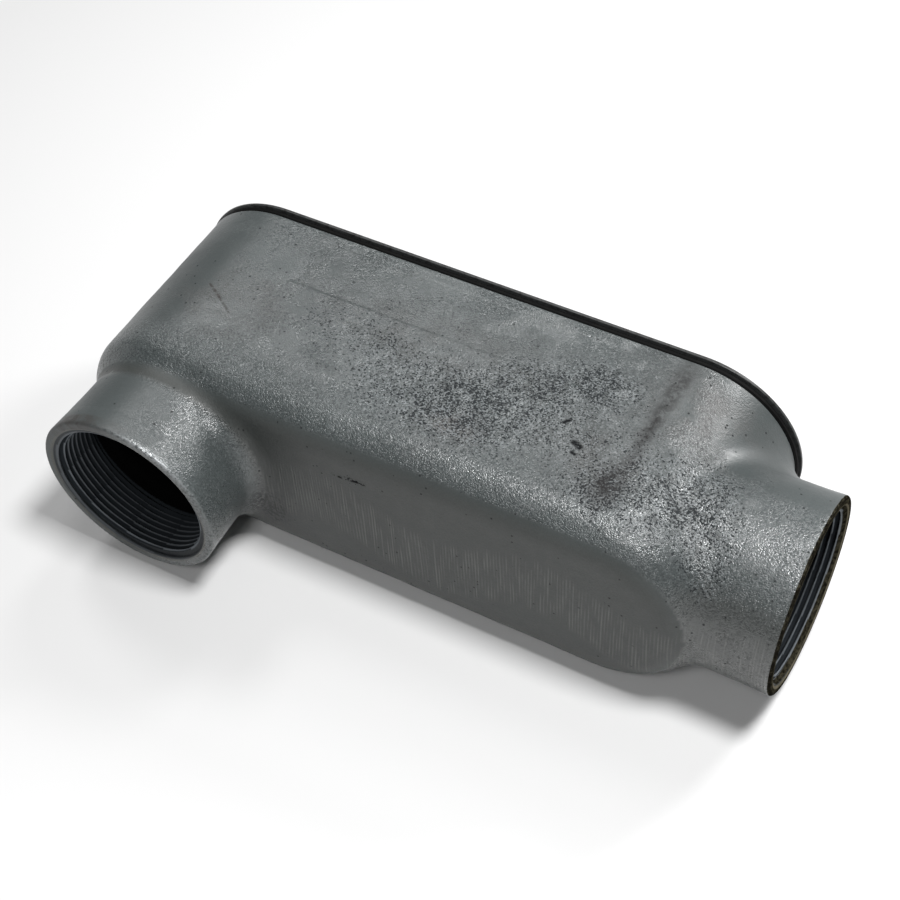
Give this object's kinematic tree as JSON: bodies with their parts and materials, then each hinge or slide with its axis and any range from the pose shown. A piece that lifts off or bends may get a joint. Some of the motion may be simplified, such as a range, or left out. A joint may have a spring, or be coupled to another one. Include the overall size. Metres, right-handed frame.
{
  "type": "conduit body",
  "caption": "Back-outlet elbow conduit body: an iron casting with two threaded hubs and a gasketed screw-down cover.",
  "frame": {"origin": "under the middle of the part's box, on the surface that it lies on", "axes": "+X along the body towards the end hub, -Y towards the back hub, +Y towards the cover, +Z out of the upper side wall"},
  "size_m": [0.2644, 0.1186, 0.0772],
  "materials": {
    "enamelled_iron": "grey enamel over a sand-cast skin, worn in patches",
    "gasket_rubber": "matt black",
    "cover_steel": "grey enamel over pressed steel, dark along its cut edge",
    "screw_steel": "dull plated steel"
  },
  "bodies": {
    "root": {"casting": "enamelled_iron", "gasket": "gasket_rubber", "cover": "cover_steel", "cover_screw_blind_end": "screw_steel", "cover_screw_hub_end": "screw_steel"}
  },
  "joints": []
}
